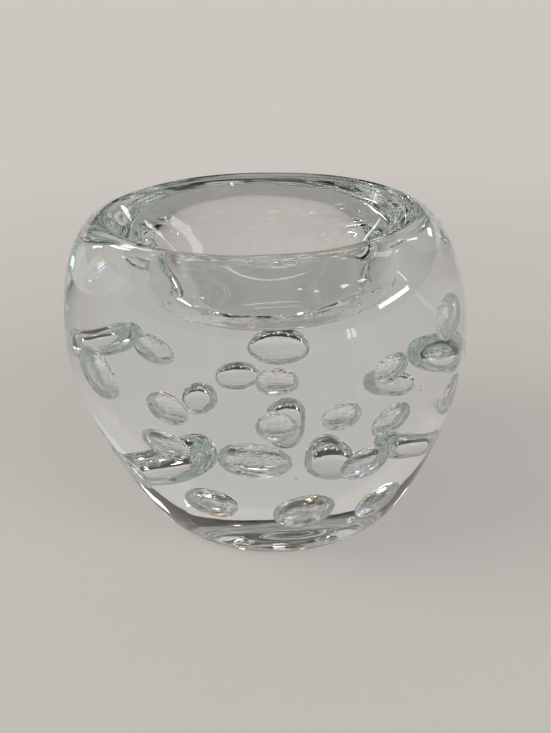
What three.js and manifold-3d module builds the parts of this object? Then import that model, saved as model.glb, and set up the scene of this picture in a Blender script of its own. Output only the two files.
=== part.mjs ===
// Hand-blown glass tealight holder, near-spherical, with trapped air bubbles.
// It is made of two gathers of clear glass: the first is pricked with dimples, the second is taken
// over it and closes each dimple into a bubble, and a bowl-shaped well for a tealight is then pressed
// in from the top. The two gathers and every bubble are separate pieces here.
// Millimetres, +Z up, the front at -Y. The origin is on the table, below the middle of the outline.

import * as THREE from 'three';
import { mergeVertices } from 'three/addons/utils/BufferGeometryUtils.js';
import Module from 'manifold-3d';

// Outer shape
const WIDEST_RADIUS = 47.5;
const WIDEST_HEIGHT = 44;
const HEIGHT = 73.4;
const REST_RADIUS = 30.6; // the flat that is ground on the underside
const FOOT_ROUNDING = 2.7; // from the flat's edge out to where the side begins
const FOOT_HEIGHT = 2.4;
const FOOT_FLARE = 38; // degrees that the side leans outwards just above the foot
const LEAN = -2.9; // the crest stands this far to the left of the foot

// Well for the tealight, whose cup is 38 mm across
const TEALIGHT_RADIUS = 19;
const TEALIGHT_CLEARANCE = 1.8; // all round, at the floor
const WELL_DEPTH = 21.2;
const WELL_CORNER = 0.8; // rounding between the well's wall and its floor
const WELL_FLARE = 42; // degrees that the wall leans outwards where it runs into the lip
const WELL_SPREAD = 6.2; // how much wider the well is there, on each side, than at its floor
const LIP_DEPTH = 11.4; // from the crest of the lip down to there
const LIP_ROUNDING = 7.8; // from there out to the crest
const WELL_ASIDE = 1.5; // the well's floor stands this far to the right of the leaning axis

// How full the curves are: each share is the part of a curve that keeps its end's direction
const FLARED_SHARE = 0.16;
const UPRIGHT_SHARE_BELOW = 0.335;
const UPRIGHT_SHARE_ABOVE = 0.56;
const LEVEL_SHARE_OUTSIDE = 0.56;
const LEVEL_SHARE_INSIDE = 0.15;
const FLARED_SHARE_IN_LIP = 0.6;
const FLARED_SHARE_IN_WELL = 0.4;
const UPRIGHT_SHARE_IN_WELL = 0.28;

// Second gather and the clearance between the pieces
const SECOND_GATHER = 7; // thickness of the glass outside the bubbles
const FIRST_ROUNDING = 5; // of the first gather's lower edge
const CLEARANCE = 0.3;

// How finely the round shapes are cut
const TURNS = 40;
const BUBBLE_DETAIL = 1;

// Each bubble: its bearing in degrees from the front towards the right, its height above the table
// as a share of the holder's, its width and height in millimetres, and the tilt of its long axis in
// degrees. Its depth through the glass is a share of its own height.
const BUBBLE_DEPTH = 0.65;
const BUBBLES = [
  // lowest row, just above the foot
  [-22, 0.252, 11.6, 9.2, 4],
  [10, 0.222, 12.8, 10.4, 18],
  [41, 0.18, 11.6, 10.2, 26],
  [82, 0.23, 10, 8, 10],
  [118, 0.22, 10, 8, -6],
  [157.5, 0.212, 4.2, 5, 0],
  [169.5, 0.177, 6, 6.8, 8],
  [179, 0.235, 5.6, 6, 0],
  [-157, 0.201, 10.4, 7.4, -6],
  [-122, 0.23, 10, 8, 6],
  [-57, 0.275, 12, 8.6, -20],
  // second row
  [-31, 0.462, 11, 6.4, -6],
  [-5, 0.438, 14.6, 9, -7],
  [29, 0.38, 11, 8.4, 12],
  [66, 0.485, 9, 6.5, 14],
  [98, 0.41, 9, 6, -5],
  [150, 0.368, 6.5, 6, 6],
  [158, 0.305, 5, 4.5, 0],
  [180, 0.37, 8.5, 5.2, 3],
  [-171, 0.322, 6, 4.2, 4],
  [-163, 0.288, 4.4, 5, 0],
  [-150, 0.43, 6, 4, -10],
  [-98, 0.435, 10, 6.5, 8],
  // third row
  [-54, 0.615, 14, 9.6, -14],
  [-28, 0.582, 9.2, 6.6, -12],
  [2, 0.55, 8.1, 6.6, 2],
  [20, 0.558, 8.2, 5.6, 5],
  [36, 0.508, 9.6, 6.4, 18],
  [112, 0.585, 8.5, 6, -8],
  [146, 0.56, 8, 5.6, 6],
  [-168, 0.57, 8, 5.6, -4],
  [-132, 0.6, 9, 6, 8],
  [-88, 0.655, 8, 6, -6],
  // top row, beside the well
  [-31, 0.742, 9.5, 5.4, -12],
  [3, 0.678, 8.2, 5.5, -2],
  [36, 0.66, 8.4, 5.6, 12],
  [64, 0.715, 12, 8.8, 6],
  [118, 0.71, 7.5, 5.4, -6],
  [-118, 0.72, 7.5, 5.4, -8],
];

const degrees = THREE.MathUtils.degToRad;
const at = (radius, height) => new THREE.Vector2(radius, height);

const wellRadius = TEALIGHT_RADIUS + TEALIGHT_CLEARANCE;
const lipRadius = wellRadius + WELL_SPREAD;
const crestRadius = lipRadius + LIP_ROUNDING;

// Points of a curve between its end controls, without the first one
function curve(steps, ...controls) {
  const cubic = controls.length === 4;
  const line = cubic ? new THREE.CubicBezierCurve(...controls) : new THREE.QuadraticBezierCurve(...controls);
  return line.getPoints(steps).slice(1);
}

// The underside: a flat for the table and a rounded edge that runs into the side
const flare = degrees(FOOT_FLARE);
const footEdge = at(REST_RADIUS + FOOT_ROUNDING, FOOT_HEIGHT);
function underside() {
  const flatEdge = at(REST_RADIUS, 0);
  const corner = at(footEdge.x - FOOT_HEIGHT * Math.tan(flare), 0);
  return [at(0, 0), flatEdge, ...curve(3, flatEdge, corner, footEdge)];
}

// The outline from the foot to a crest, drawn in by an inset that fades out towards the crest
function outside(inset, crest) {
  const foot = at(footEdge.x - inset * Math.cos(flare), footEdge.y + inset * Math.sin(flare));
  const widest = at(WIDEST_RADIUS - inset, WIDEST_HEIGHT);
  const top = at(crest, HEIGHT);
  const side = widest.y - foot.y;
  const flared = FLARED_SHARE * side;
  const aboveFoot = at(foot.x + flared * Math.sin(flare), foot.y + flared * Math.cos(flare));
  const belowWidest = at(widest.x, widest.y - UPRIGHT_SHARE_BELOW * side);
  const aboveWidest = at(widest.x, widest.y + UPRIGHT_SHARE_ABOVE * (top.y - widest.y));
  const besideCrest = at(top.x + LEVEL_SHARE_OUTSIDE * (widest.x - top.x), top.y);
  return [
    foot,
    ...curve(8, foot, aboveFoot, belowWidest, widest),
    ...curve(7, widest, aboveWidest, besideCrest, top),
  ];
}

// The two points of an outline between which a height lies, or its first two where it starts higher
function around(outline, height) {
  const above = Math.max(1, outline.findIndex((point) => point.y > height));
  return [outline[above - 1], outline[above]];
}

function radiusAt(outline, height) {
  const [low, high] = around(outline, height);
  return THREE.MathUtils.mapLinear(height, low.y, high.y, low.x, high.x);
}

// The skin between the two gathers, from the axis to the crest, moved outwards by a small amount
function skin(outwards) {
  const inset = SECOND_GATHER - outwards;
  const wall = outside(inset, crestRadius + outwards);
  const corner = at(radiusAt(wall, inset), inset);
  const floorEdge = at(corner.x - FIRST_ROUNDING, inset);
  const height = inset + FIRST_ROUNDING;
  const side = at(radiusAt(wall, height), height);
  const above = wall.filter((point) => point.y > height);
  return [at(0, inset), floorEdge, ...curve(3, floorEdge, corner, side), ...above];
}

// The inside of the lip and the well, from a crest down to the axis
function well(crest) {
  const floor = HEIGHT - WELL_DEPTH;
  const top = at(crest, HEIGHT);
  const lipEnd = at(lipRadius, HEIGHT - LIP_DEPTH);
  const wallEnd = at(wellRadius, floor + WELL_CORNER);
  const floorEdge = at(wellRadius - WELL_CORNER, floor);
  const wall = lipEnd.y - wallEnd.y;
  const slope = at(Math.tan(degrees(WELL_FLARE)), 1);
  const insideCrest = at(top.x - LEVEL_SHARE_INSIDE * (top.x - lipEnd.x), top.y);
  const inLip = lipEnd.clone().addScaledVector(slope, FLARED_SHARE_IN_LIP * LIP_DEPTH);
  const inWell = lipEnd.clone().addScaledVector(slope, -FLARED_SHARE_IN_WELL * wall);
  const aboveFloor = at(wallEnd.x, wallEnd.y + UPRIGHT_SHARE_IN_WELL * wall);
  return [
    ...curve(6, top, insideCrest, inLip, lipEnd),
    ...curve(6, lipEnd, inWell, aboveFloor, wallEnd),
    ...curve(2, wallEnd, at(wellRadius, floor), floorEdge),
    at(0, floor),
  ];
}

// A closed solid of revolution about the upright axis, from an outline of radius and height. The
// points of the outline from wellStart on move aside with their depth below the crest.
function turned(outline, wellStart) {
  const geometry = new THREE.LatheGeometry(outline, TURNS);
  geometry.rotateX(Math.PI / 2);
  const position = geometry.attributes.position;
  for (let index = 0; index < position.count; index += 1) {
    if (index % outline.length >= wellStart) {
      const depth = HEIGHT - position.getZ(index);
      position.setX(index, position.getX(index) + (WELL_ASIDE * depth) / WELL_DEPTH);
    }
  }
  return geometry;
}

// One bubble, seated on the skin between the gathers and grown on every side
const seat = skin(0);
function bubble([bearing, share, width, tall, tilt], grown) {
  const height = share * HEIGHT;
  const radius = radiusAt(seat, height);
  const [low, high] = around(seat, height);
  const slope = Math.atan2(high.x - low.x, high.y - low.y);
  const geometry = new THREE.IcosahedronGeometry(0.5, BUBBLE_DETAIL);
  geometry.scale(width + 2 * grown, tall * BUBBLE_DEPTH + 2 * grown, tall + 2 * grown);
  geometry.rotateY(-degrees(tilt));
  geometry.rotateX(slope);
  geometry.translate(0, -radius, height);
  geometry.rotateZ(degrees(bearing));
  return geometry;
}

// Booleans
const manifold = await Module();
manifold.setup();

function toSolid(geometry) {
  const bare = geometry.clone();
  bare.deleteAttribute('normal');
  bare.deleteAttribute('uv');
  const welded = mergeVertices(bare, 1e-4);
  const mesh = new manifold.Mesh({
    numProp: 3,
    vertProperties: welded.attributes.position.array,
    triVerts: new Uint32Array(welded.index.array),
  });
  return new manifold.Manifold(mesh);
}

function toGeometry(solid) {
  const mesh = solid.getMesh();
  const geometry = new THREE.BufferGeometry();
  geometry.setAttribute('position', new THREE.BufferAttribute(mesh.vertProperties, 3));
  geometry.setIndex(new THREE.BufferAttribute(mesh.triVerts, 1));
  return geometry;
}

// A gather, with a dimple for the half of every bubble that lies in it
function dimpled(outline, wellStart) {
  let solid = toSolid(turned(outline, wellStart));
  for (const row of BUBBLES) {
    solid = solid.subtract(toSolid(bubble(row, CLEARANCE)));
  }
  return toGeometry(solid);
}

// Materials
const glass = new THREE.MeshStandardMaterial({
  color: '#dfe7e4',
  roughness: 0.02,
  metalness: 0,
  transparent: true,
  opacity: 0.45,
});
const air = new THREE.MeshStandardMaterial({
  color: '#f4f8f8',
  roughness: 0.02,
  metalness: 0,
  transparent: true,
  opacity: 0.3,
});

// Assembly: each piece leans with its height and stays where it is at the widest point
const leanPerHeight = LEAN / HEIGHT;
const lean = new THREE.Matrix4().makeShear(0, 0, 0, 0, leanPerHeight, 0);
lean.setPosition(-leanPerHeight * WIDEST_HEIGHT, 0, 0);
const holder = new THREE.Group();

function add(name, geometry, material) {
  const mesh = new THREE.Mesh(geometry.applyMatrix4(lean), material);
  mesh.name = name;
  holder.add(mesh);
}

const half = CLEARANCE / 2;
const outerSkin = skin(half).reverse().slice(1);
const outerOutline = [...underside(), ...outside(0, crestRadius + half).slice(1), ...outerSkin];
const innerSkin = skin(-half);
const innerOutline = [...innerSkin, ...well(crestRadius - half)];

add('outer_gather', dimpled(outerOutline, outerOutline.length), glass);
add('inner_gather', dimpled(innerOutline, innerSkin.length), glass);
BUBBLES.forEach((row, index) => {
  add(`air_bubble_${String(index + 1).padStart(2, '0')}`, bubble(row, 0), air);
});

export default holder;
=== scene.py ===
import math

import bmesh
import bpy
import numpy
from mathutils import Matrix, Vector, noise
from mathutils.geometry import interpolate_bezier


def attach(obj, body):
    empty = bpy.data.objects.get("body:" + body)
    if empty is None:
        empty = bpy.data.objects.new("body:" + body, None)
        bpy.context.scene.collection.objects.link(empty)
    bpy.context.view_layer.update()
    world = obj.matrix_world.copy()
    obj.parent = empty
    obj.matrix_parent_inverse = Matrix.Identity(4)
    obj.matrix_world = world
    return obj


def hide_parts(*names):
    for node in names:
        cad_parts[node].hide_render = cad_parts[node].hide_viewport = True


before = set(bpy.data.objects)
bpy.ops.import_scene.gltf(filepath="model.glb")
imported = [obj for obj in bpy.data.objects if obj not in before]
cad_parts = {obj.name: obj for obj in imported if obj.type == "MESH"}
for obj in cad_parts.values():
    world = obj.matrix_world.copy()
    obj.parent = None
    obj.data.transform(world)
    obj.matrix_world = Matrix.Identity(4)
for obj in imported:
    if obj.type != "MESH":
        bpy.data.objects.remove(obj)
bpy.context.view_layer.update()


# The body of the holder: two gathers of clear soda-lime glass, fused into one lump and shaped in a
# wet wooden block. The well is pressed in from the top while the glass is soft, the lip is smoothed
# in the flame, and the underside is ground flat.
MM = 0.001
WIDEST_RADIUS = 47.5 * MM
WIDEST_HEIGHT = 44 * MM
HEIGHT = 73.4 * MM
REST_RADIUS = 30.6 * MM
FOOT_ROUNDING = 2.7 * MM
FOOT_HEIGHT = 2.4 * MM
FOOT_FLARE = math.radians(38)
LEAN = -2.9 * MM
WELL_RADIUS = 20.8 * MM
WELL_DEPTH = 21.2 * MM
WELL_CORNER = 0.8 * MM
WELL_FLARE = math.radians(42)
WELL_SPREAD = 6.2 * MM
LIP_DEPTH = 11.4 * MM
LIP_ROUNDING = 7.8 * MM
WELL_ASIDE = 1.5 * MM

# The share of each curve that keeps the direction of its end.
FLARED_SHARE = 0.16
UPRIGHT_SHARE_BELOW = 0.335
UPRIGHT_SHARE_ABOVE = 0.56
LEVEL_SHARE_OUTSIDE = 0.56
LEVEL_SHARE_INSIDE = 0.15
FLARED_SHARE_IN_LIP = 0.6
FLARED_SHARE_IN_WELL = 0.4
UPRIGHT_SHARE_IN_WELL = 0.28

# How finely the outline is cut and turned.
FOOT_STEPS = 8
SIDE_STEPS = 30
LIP_STEPS = 24
WALL_STEPS = 20
CORNER_STEPS = 5
TURNS = 192
WELD = 0.001 * MM

# The hand-made surface: slow waves all over, quicker ones inside the lip, and two crinkled bands in
# the front of the well, at these depths below the crest.
WAVE = 0.3 * MM
WAVE_LENGTH = 25 * MM
FOOT_STAYS_FLAT = 4 * MM
LIP_WAVE = 0.35 * MM
LIP_WAVE_LENGTH = 9 * MM
WELL_CHILL = 0.3
CRINKLED_DEPTHS = (4.2 * MM, 19.7 * MM)
CRINKLED_BAND = 1.5 * MM

CREST = Vector((WELL_RADIUS + WELL_SPREAD + LIP_ROUNDING, 0, HEIGHT))


def curve(steps, start, first_handle, second_handle, end):
    """The points of a curve from one place on the outline to the next, without its start."""
    return interpolate_bezier(start, first_handle, second_handle, end, steps + 1)[1:]


def rounded(steps, start, corner, end):
    """The points of a rounded corner, without its start."""
    return curve(steps, start, start.lerp(corner, 2 / 3), end.lerp(corner, 2 / 3), end)


def outside_outline():
    """The outline from the middle of the underside, round the foot and up to the crest."""
    flat_edge = Vector((REST_RADIUS, 0, 0))
    foot = Vector((REST_RADIUS + FOOT_ROUNDING, 0, FOOT_HEIGHT))
    flared = Vector((math.sin(FOOT_FLARE), 0, math.cos(FOOT_FLARE)))
    corner = foot - flared * FOOT_HEIGHT / flared.z
    widest = Vector((WIDEST_RADIUS, 0, WIDEST_HEIGHT))
    side = WIDEST_HEIGHT - FOOT_HEIGHT
    above_foot = foot + flared * FLARED_SHARE * side
    below_widest = widest - Vector((0, 0, UPRIGHT_SHARE_BELOW * side))
    above_widest = widest + Vector((0, 0, UPRIGHT_SHARE_ABOVE * (HEIGHT - WIDEST_HEIGHT)))
    beside_crest = CREST + Vector((LEVEL_SHARE_OUTSIDE * (WIDEST_RADIUS - CREST.x), 0, 0))
    return [
        Vector(),
        flat_edge,
        *rounded(FOOT_STEPS, flat_edge, corner, foot),
        *curve(SIDE_STEPS, foot, above_foot, below_widest, widest),
        *curve(SIDE_STEPS, widest, above_widest, beside_crest, CREST),
    ]


def well_outline():
    """The outline from the crest down the inside of the lip and the well to the axis."""
    floor = HEIGHT - WELL_DEPTH
    lip_end = Vector((WELL_RADIUS + WELL_SPREAD, 0, HEIGHT - LIP_DEPTH))
    wall_end = Vector((WELL_RADIUS, 0, floor + WELL_CORNER))
    floor_edge = Vector((WELL_RADIUS - WELL_CORNER, 0, floor))
    wall = lip_end.z - wall_end.z
    flared = Vector((math.tan(WELL_FLARE), 0, 1))
    inside_crest = CREST - Vector((LEVEL_SHARE_INSIDE * LIP_ROUNDING, 0, 0))
    in_lip = lip_end + flared * FLARED_SHARE_IN_LIP * LIP_DEPTH
    in_well = lip_end - flared * FLARED_SHARE_IN_WELL * wall
    above_floor = wall_end + Vector((0, 0, UPRIGHT_SHARE_IN_WELL * wall))
    return [
        CREST,
        *curve(LIP_STEPS, CREST, inside_crest, in_lip, lip_end),
        *curve(WALL_STEPS, lip_end, in_well, above_floor, wall_end),
        *rounded(CORNER_STEPS, wall_end, Vector((WELL_RADIUS, 0, floor)), floor_edge),
        Vector((0, 0, floor)),
    ]


def turned(bm, outline):
    """Turns an outline about the upright axis, and returns the new points."""
    before = set(bm.verts)
    line = [bm.verts.new(point) for point in outline]
    edges = [bm.edges.new(pair) for pair in zip(line, line[1:])]
    bmesh.ops.spin(
        bm,
        geom=line + edges,
        cent=(0, 0, 0),
        axis=(0, 0, 1),
        angle=math.tau,
        steps=TURNS,
        use_merge=True,
    )
    return [vertex for vertex in bm.verts if vertex not in before]


glass = bmesh.new()
chilled = glass.verts.layers.float.new("chilled")
turned(glass, outside_outline())
for vertex in turned(glass, well_outline()):
    below_crest = HEIGHT - vertex.co.z
    from_band = min(abs(below_crest - depth) for depth in CRINKLED_DEPTHS)
    in_front = 0.5 - 0.5 * vertex.co.y / max(WELL_CORNER, math.hypot(*vertex.co.xy))
    vertex[chilled] = WELL_CHILL * max(0, 1 - from_band / CRINKLED_BAND) * in_front**2
    vertex.co.x += WELL_ASIDE * below_crest / WELL_DEPTH
bmesh.ops.remove_doubles(glass, verts=glass.verts, dist=WELD)
bmesh.ops.recalc_face_normals(glass, faces=glass.faces)
glass.normal_update()
for vertex in glass.verts:
    swell = 0.5 + 0.5 * noise.noise(vertex.co / WAVE_LENGTH)
    above_foot = min(1, vertex.co.z / FOOT_STAYS_FLAT)
    ripple = 0.5 + 0.5 * noise.noise(vertex.co / LIP_WAVE_LENGTH)
    in_lip = max(0, 1 - (HEIGHT - vertex.co.z) / LIP_DEPTH) * (math.hypot(*vertex.co.xy) < CREST.x)
    vertex.co -= vertex.normal * (WAVE * swell * above_foot + LIP_WAVE * ripple * in_lip)
    vertex.co.x += LEAN * (vertex.co.z - WIDEST_HEIGHT) / HEIGHT


# The air bubbles: the first gather is pressed on a board of pins, and the second gather closes each
# dimple into a bubble, which the working of the glass then stretches along the wall. A bubble is a
# closed hole in the glass, so its wall faces inwards here and belongs to the body's own mesh.
BUBBLE_LUMPS = 0.05
LUMPS_PER_RADIUS = 1.3
BUBBLE_STEPS = 4
FINE_BUBBLE_STEPS = 5

# How much of the wrinkles a wall has: where it turns from the inner side to the outer one, how fast
# that changes across it, and the share that is left in the bubbles of the back half.
CHILL_AT_TURN = 1.3
CHILL_CHANGE = 1.5
BACK_CHILL = 0.1


def centre_and_stretch(node):
    """The centre of a bubble's solid, and the matrix that stretches a ball of radius 1 into it."""
    points = numpy.array([vertex.co for vertex in node.data.vertices])
    centre = points.mean(axis=0)
    spread = 3 * numpy.cov((points - centre).T, bias=True)
    squared, axes = numpy.linalg.eigh(spread)
    stretch = axes @ numpy.diag(numpy.sqrt(squared)) @ axes.T
    return Vector(centre), Matrix(stretch.tolist())


def hollow(centre, stretch, steps, lumps):
    """Leaves a closed hole in the glass. Its wall is chilled, but not on the outer side."""
    inwards = Vector((-centre.x, -centre.y, 0)).normalized()
    chill = 1 if centre.y < 0 else BACK_CHILL
    ball = bmesh.ops.create_icosphere(glass, subdivisions=steps, radius=1)["verts"]
    for vertex in ball:
        wrinkled = CHILL_AT_TURN + CHILL_CHANGE * vertex.co.dot(inwards)
        vertex[chilled] = chill * max(0, min(1, wrinkled))
        lump = noise.noise(vertex.co * LUMPS_PER_RADIUS + centre / MM)
        vertex.co = centre + stretch @ (vertex.co * (1 + lumps * lump))
    walls = {face for vertex in ball for face in vertex.link_faces}
    bmesh.ops.reverse_faces(glass, faces=list(walls))


bubble_nodes = sorted(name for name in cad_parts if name.startswith("air_bubble"))
for name in bubble_nodes:
    centre, stretch = centre_and_stretch(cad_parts[name])
    steps = FINE_BUBBLE_STEPS if centre.y < 0 else BUBBLE_STEPS
    hollow(centre, stretch, steps, BUBBLE_LUMPS)

# Seeds: the specks of air that every batch of melted glass keeps. Each has its place and its radius
# in millimetres.
SEED_STEPS = 2
SEEDS = [
    (-11, -32, 33, 0.9),
    (-21, -26, 27, 0.5),
    (5, -31, 25.5, 0.35),
    (16, -25, 9.5, 1.1),
    (13, -24, 6, 0.6),
    (-4, -26, 5, 0.7),
    (-23, -24, 7, 0.45),
    (9, -22, 4, 0.4),
    (28, -20, 39, 0.5),
    (-14, 22, 45, 0.6),
    (20, 24, 30, 0.7),
]
for *place, radius in SEEDS:
    hollow(Vector(place) * MM, Matrix.Scale(radius * MM, 3), SEED_STEPS, 0)

glass_mesh = bpy.data.meshes.new("glass_body")
glass.to_mesh(glass_mesh)
glass.free()
glass_mesh.shade_smooth()
glass_body = bpy.data.objects.new("glass_body", glass_mesh)
bpy.context.scene.collection.objects.link(glass_body)


def linear(hex_colour, alpha=1):
    """A written sRGB colour such as "c9c1bb" as linear red, green, blue and alpha."""
    parts = [int(hex_colour[start:start + 2], 16) / 255 for start in (0, 2, 4)]
    return (*(part / 12.92 if part < 0.04045 else ((part + 0.055) / 1.055) ** 2.4 for part in parts), alpha)


def add_node(tree, kind, settings=None, links=None):
    """Adds a node with its settings, links its inputs, and returns it."""
    node = tree.nodes.new(kind)
    for name, value in (settings or {}).items():
        if isinstance(name, int) or name in node.inputs:
            node.inputs[name].default_value = value
        else:
            setattr(node, name, value)
    for name, source in (links or {}).items():
        tree.links.new(source, node.inputs[name])
    return node


# Clear soda-lime glass, fire-polished: no colour of its own in a thin piece, and a faint green-grey
# where the eye looks through several centimetres of it, as along the rim. Where the first gather
# touched the cold pins, the wall of a bubble keeps chill wrinkles, fine lines that run along it, and
# so do the crinkled bands of the well.
TINT = "eaf5f3"
TINT_PER_METRE = 6
WRINKLE_LENGTH = 2.5 * MM
WRINKLE_SPACING = 0.6 * MM
WRINKLE_HEIGHT = 0.5 * MM

clear_glass = bpy.data.materials.new("clear_soda_lime_glass")
clear_glass.use_nodes = True
tree = clear_glass.node_tree
surface = tree.nodes["Principled BSDF"]
surface.inputs["Base Color"].default_value = linear("ffffff")
surface.inputs["Transmission Weight"].default_value = 1
surface.inputs["Roughness"].default_value = 0
surface.inputs["IOR"].default_value = 1.52
depth = add_node(tree, "ShaderNodeVolumeAbsorption", {"Color": linear(TINT), "Density": TINT_PER_METRE})
tree.links.new(depth.outputs["Volume"], tree.nodes["Material Output"].inputs["Volume"])
on_glass = add_node(tree, "ShaderNodeTexCoord")
along = (1 / WRINKLE_LENGTH, 1 / WRINKLE_LENGTH, 1 / WRINKLE_SPACING)
stretched = add_node(tree, "ShaderNodeMapping", {"Scale": along}, {"Vector": on_glass.outputs["Object"]})
wrinkles = add_node(
    tree,
    "ShaderNodeTexNoise",
    {"Scale": 1, "Detail": 1, "Distortion": 0.6},
    {"Vector": stretched.outputs[0]},
)
chill = add_node(tree, "ShaderNodeAttribute", {"attribute_name": "chilled"})
raised = add_node(
    tree,
    "ShaderNodeBump",
    {"Distance": WRINKLE_HEIGHT},
    {"Height": wrinkles.outputs[0], "Strength": chill.outputs["Fac"]},
)
tree.links.new(raised.outputs[0], surface.inputs["Normal"])
glass_mesh.materials.append(clear_glass)

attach(glass_body, "root")
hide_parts("outer_gather", "inner_gather", *bubble_nodes)


# The floor: one large pale cloth-coloured sheet. The camera and the glass see a share of its colour
# evenly lit, which grows with the distance from the holder in metres, and the rest keeps the shadow.
PALE = "cdc7c2"
FLOOR_HALF_SIZE = 8
FLOOR_GAP = 0.1 * MM
EVEN_SHARE = (0.52, 1)
EVEN_DISTANCE = (0.02, 0.4)

floor_colour = linear(PALE)
floor_material = bpy.data.materials.new("pale_floor")
floor_material.use_nodes = True
tree = floor_material.node_tree
cloth = tree.nodes["Principled BSDF"]
cloth.inputs["Base Color"].default_value = floor_colour
cloth.inputs["Roughness"].default_value = 0.95
even = add_node(tree, "ShaderNodeEmission", {"Color": floor_colour, "Strength": 1})
ray = add_node(tree, "ShaderNodeLightPath")
seen_through = add_node(
    tree,
    "ShaderNodeMath",
    {"operation": "MAXIMUM"},
    {0: ray.outputs["Is Camera Ray"], 1: ray.outputs["Is Transmission Ray"]},
)
seen = add_node(
    tree,
    "ShaderNodeMath",
    {"operation": "MAXIMUM"},
    {0: seen_through.outputs[0], 1: ray.outputs["Is Glossy Ray"]},
)
ground = add_node(tree, "ShaderNodeTexCoord")
away = add_node(tree, "ShaderNodeVectorMath", {"operation": "LENGTH"}, {"Vector": ground.outputs["Object"]})
nearer, further = zip(EVEN_DISTANCE, EVEN_SHARE)
spread = add_node(
    tree,
    "ShaderNodeMapRange",
    {"From Min": nearer[0], "To Min": nearer[1], "From Max": further[0], "To Max": further[1]},
    {"Value": away.outputs["Value"]},
)
share = add_node(
    tree, "ShaderNodeMath", {"operation": "MULTIPLY"}, {0: seen.outputs[0], 1: spread.outputs[0]}
)
mixed = add_node(
    tree, "ShaderNodeMixShader", links={0: share.outputs[0], 1: cloth.outputs[0], 2: even.outputs[0]}
)
tree.links.new(mixed.outputs[0], tree.nodes["Material Output"].inputs["Surface"])

floor_bm = bmesh.new()
bmesh.ops.create_grid(floor_bm, x_segments=1, y_segments=1, size=FLOOR_HALF_SIZE)
bmesh.ops.translate(floor_bm, verts=floor_bm.verts, vec=(0, 0, -FLOOR_GAP))
floor_mesh = bpy.data.meshes.new("floor")
floor_bm.to_mesh(floor_mesh)
floor_bm.free()
floor_mesh.materials.append(floor_material)
floor = bpy.data.objects.new("floor", floor_mesh)
bpy.context.scene.collection.objects.link(floor)


# The light: a pale backdrop that stands a little higher than the floor's far edge, a dim room with
# brown furniture above it, two large soft lamps, and windows that show only in the glass. Each
# colour of the room stands at the sine of its height above the level, and the room is darker on the
# side away from its bright one. The camera sees the backdrop's colour all the way up.
BACKDROP_TOP = 0.14
ROOM = [
    (BACKDROP_TOP, PALE),
    (0.155, "2a2622"),
    (0.42, "4c463f"),
    (0.6, "b0a79b"),
    (0.75, "c8c3ba"),
    (1, "b0b0ac"),
]
FURNITURE = [(0.42, "2c241f"), (0.49, "8c7f72"), (0.55, "ffffff")]
FURNITURE_SCALE = 7
BRIGHT_SIDE = (-0.6, 0.8, 0)
TURN_OF_LIGHT = 0.4
DARK_SIDE_SHARE = 0.2

world = bpy.data.worlds.new("room")
world.use_nodes = True
bpy.context.scene.world = world
tree = world.node_tree
direction = add_node(tree, "ShaderNodeTexCoord").outputs["Generated"]
parts = add_node(tree, "ShaderNodeSeparateXYZ", links={"Vector": direction})
patches = add_node(
    tree, "ShaderNodeTexNoise", {"Scale": FURNITURE_SCALE, "Detail": 3}, {"Vector": direction}
)
colours = []
for value, stops in ((parts.outputs["Z"], ROOM), (patches.outputs[0], FURNITURE)):
    ramp = add_node(tree, "ShaderNodeValToRGB", links={"Fac": value})
    elements = ramp.color_ramp.elements
    elements.remove(elements[-1])
    for index, (position, colour) in enumerate(stops):
        element = elements[0] if index == 0 else elements.new(position)
        element.position = position
        element.color = linear(colour)
    colours.append(ramp.outputs["Color"])
room = add_node(
    tree,
    "ShaderNodeMix",
    {"data_type": "RGBA", "blend_type": "MULTIPLY", "Factor": 1},
    {6: colours[0], 7: colours[1]},
)
brighter = add_node(
    tree, "ShaderNodeVectorMath", {"operation": "DOT_PRODUCT", 1: BRIGHT_SIDE}, {0: direction}
)
level = add_node(
    tree,
    "ShaderNodeMapRange",
    {"From Min": -TURN_OF_LIGHT, "From Max": TURN_OF_LIGHT, "To Min": DARK_SIDE_SHARE, "To Max": 1},
    {"Value": brighter.outputs["Value"]},
)
backdrop = add_node(
    tree, "ShaderNodeMath", {"operation": "LESS_THAN", 1: BACKDROP_TOP}, {0: parts.outputs["Z"]}
)
ray = add_node(tree, "ShaderNodeLightPath")
pale = add_node(
    tree,
    "ShaderNodeMath",
    {"operation": "MAXIMUM"},
    {0: backdrop.outputs[0], 1: ray.outputs["Is Camera Ray"]},
)
around = add_node(
    tree,
    "ShaderNodeMix",
    {"data_type": "RGBA", 7: floor_colour},
    {"Factor": pale.outputs[0], 6: room.outputs[2]},
)
strength = add_node(
    tree, "ShaderNodeMath", {"operation": "MAXIMUM"}, {0: level.outputs[0], 1: pale.outputs[0]}
)
tree.links.new(around.outputs[2], tree.nodes["Background"].inputs["Color"])
tree.links.new(strength.outputs[0], tree.nodes["Background"].inputs["Strength"])

AIM = Vector((0, 0, 40 * MM))


def facing(place):
    """The turn that points a lamp or a window at the holder from its place."""
    return (Vector(place) - AIM).to_track_quat("Z", "Y").to_euler()


# Each lamp has its place and its width in metres, and its power in watts.
LAMPS = [((-1.2, -0.2, 0.8), 1.0, 15), ((1.0, -0.9, 0.9), 0.8, 11)]
for number, (place, size, power) in enumerate(LAMPS, 1):
    light = bpy.data.lights.new(f"lamp_{number}", "AREA")
    light.size = size
    light.energy = power
    lamp = bpy.data.objects.new(light.name, light)
    lamp.location = place
    lamp.rotation_euler = facing(place)
    lamp.visible_glossy = False
    lamp.visible_transmission = False
    bpy.context.scene.collection.objects.link(lamp)

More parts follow.
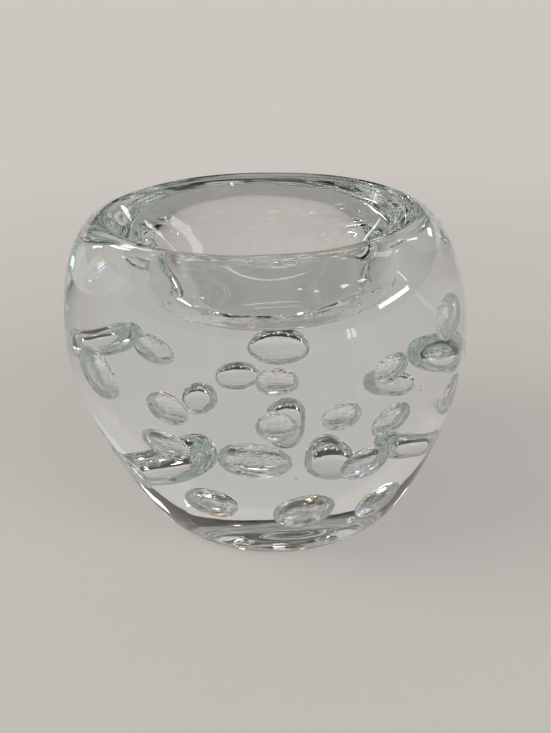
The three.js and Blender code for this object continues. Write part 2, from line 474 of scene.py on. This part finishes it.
# Each window has its bearing from the back towards the right, its height above the level, both in
# degrees, its width and height in metres, its colour and its strength.
WINDOW_DISTANCE = 2
WINDOWS = [
    (102, 14, 0.8, 0.09, "ffffff", 12),
    (89, 22, 0.03, 0.3, "ffffff", 8),
    (132.4, 6, 0.07, 0.16, "ffffff", 6),
    (135.4, 6, 0.07, 0.16, "ffffff", 6),
    (112, 36, 0.16, 0.1, "ffffff", 10),
    (125, 37, 0.16, 0.1, "ffffff", 10),
    (144, 39, 0.06, 0.06, "ffffff", 8),
    (153, 44, 0.08, 0.05, "ffffff", 10),
    (-144, 33, 0.08, 0.05, "ffffff", 10),
    (-73, 17, 0.07, 0.25, "9cc4ff", 5),
    (-70, 18, 0.06, 0.25, "ffffff", 6),
    (-67.5, 19, 0.05, 0.25, "ffc48c", 5),
    (20, 50, 0.3, 0.16, "ffd2a0", 4),
    (-28, 38, 0.16, 0.3, "ffffff", 5),
    (-35, 60, 0.2, 0.2, "cfe2ff", 5),
    (48, 30, 0.12, 0.25, "ffffff", 5),
    (0, 62, 0.5, 0.05, "ffffff", 6),
    (5, 70, 0.5, 0.05, "ffffff", 6),
    (-8, 32, 0.05, 0.2, "ffe0b8", 5),
    (12, 26, 0.06, 0.12, "ffffff", 6),
    (-50, 22, 0.08, 0.3, "ffffff", 6),
    (70, 45, 0.3, 0.3, "ffffff", 3),
    (40, 14.5, 0.25, 0.14, "ffffff", 6),
    (45, 5, 0.6, 0.12, "dce4ec", 1),
    (-80, 15, 1.4, 0.6, "e8e8e6", 0.8),
]

# Small panes in the roof, in rows behind the holder.
PANE = (0.12, 0.05, "ffffff", 5)
PANE_HEIGHTS = (38, 50, 62)
PANE_BEARINGS = (-66, -44, -22, 0, 22, 44, 66)
for height in PANE_HEIGHTS:
    WINDOWS += [(bearing, height, *PANE) for bearing in PANE_BEARINGS]

for number, (bearing, height, width, tall, colour, strength) in enumerate(WINDOWS, 1):
    pane = bmesh.new()
    bmesh.ops.create_grid(pane, x_segments=1, y_segments=1, size=0.5)
    bmesh.ops.scale(pane, vec=(width, tall, 1), verts=pane.verts)
    pane_mesh = bpy.data.meshes.new(f"window_{number}")
    pane.to_mesh(pane_mesh)
    pane.free()
    daylight = bpy.data.materials.new(pane_mesh.name)
    daylight.use_nodes = True
    tree = daylight.node_tree
    glow = add_node(tree, "ShaderNodeEmission", {"Color": linear(colour), "Strength": strength})
    tree.links.new(glow.outputs[0], tree.nodes["Material Output"].inputs["Surface"])
    pane_mesh.materials.append(daylight)
    window = bpy.data.objects.new(pane_mesh.name, pane_mesh)
    upwards = Vector((0, 1, math.tan(math.radians(height))))
    towards = Matrix.Rotation(math.radians(-bearing), 3, "Z") @ upwards
    window.location = AIM + towards.normalized() * WINDOW_DISTANCE
    window.rotation_euler = facing(window.location)
    window.visible_camera = False
    window.visible_diffuse = False
    bpy.context.scene.collection.objects.link(window)


# The camera: a phone held over the table in front of the holder. Its focal length is in pixels of
# the photo's frame, and its angles are in radians. Light passes many walls before it leaves.
FRAME_HEIGHT = 733
FOCAL_LENGTH = 824
SENSOR = 36
CAMERA_PLACE = (1.82 * MM, -184.8 * MM, 121.5 * MM)
LOOKS_DOWN = 0.4473
ROLLED = -0.0252
camera_data = bpy.data.cameras.new("camera")
camera_data.sensor_fit = "VERTICAL"
camera_data.sensor_height = SENSOR
camera_data.lens = SENSOR * FOCAL_LENGTH / FRAME_HEIGHT
camera_data.clip_start = 10 * MM
camera = bpy.data.objects.new("camera", camera_data)
camera.location = CAMERA_PLACE
pitch = Matrix.Rotation(math.pi / 2 - LOOKS_DOWN, 3, "X")
roll = Matrix.Rotation(ROLLED, 3, "Z")
camera.rotation_euler = (pitch @ roll).to_euler()
bpy.context.scene.collection.objects.link(camera)
bpy.context.scene.camera = camera
bpy.context.scene.view_settings.view_transform = "Standard"
bpy.context.scene.cycles.max_bounces = 32
bpy.context.scene.cycles.transmission_bounces = 32
bpy.context.scene.cycles.glossy_bounces = 24
